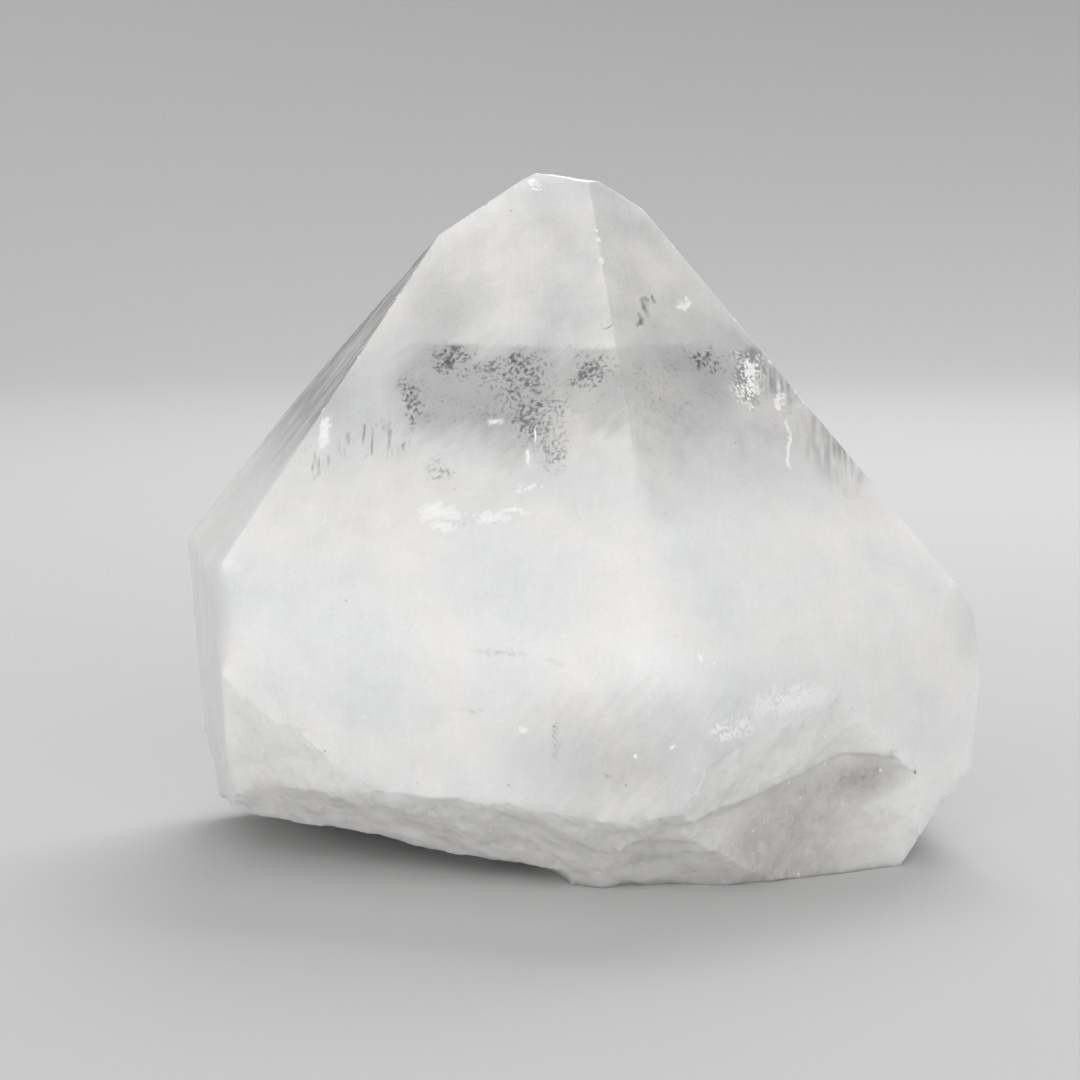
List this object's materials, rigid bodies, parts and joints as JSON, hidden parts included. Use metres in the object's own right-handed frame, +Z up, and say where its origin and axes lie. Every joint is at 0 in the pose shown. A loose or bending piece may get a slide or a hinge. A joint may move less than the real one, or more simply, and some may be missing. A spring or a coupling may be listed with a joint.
{
  "type": "quartz point",
  "caption": "Single clear to milky quartz crystal with a six-sided point, short prism faces and a broken, undercut base that it stands on.",
  "frame": {"origin": "middle of the crystal's bounding box, on the surface that it stands on", "axes": "+Z up, towards the crystal's point; +X along its widest side; -Y is the front, where the chipped corner shows"},
  "size_m": [0.0702, 0.0624, 0.0589],
  "materials": {
    "quartz": "natural crystal faces, clear near the point and milky below, with a matt broken base"
  },
  "bodies": {
    "root": {"quartz_point": "quartz"}
  },
  "joints": []
}
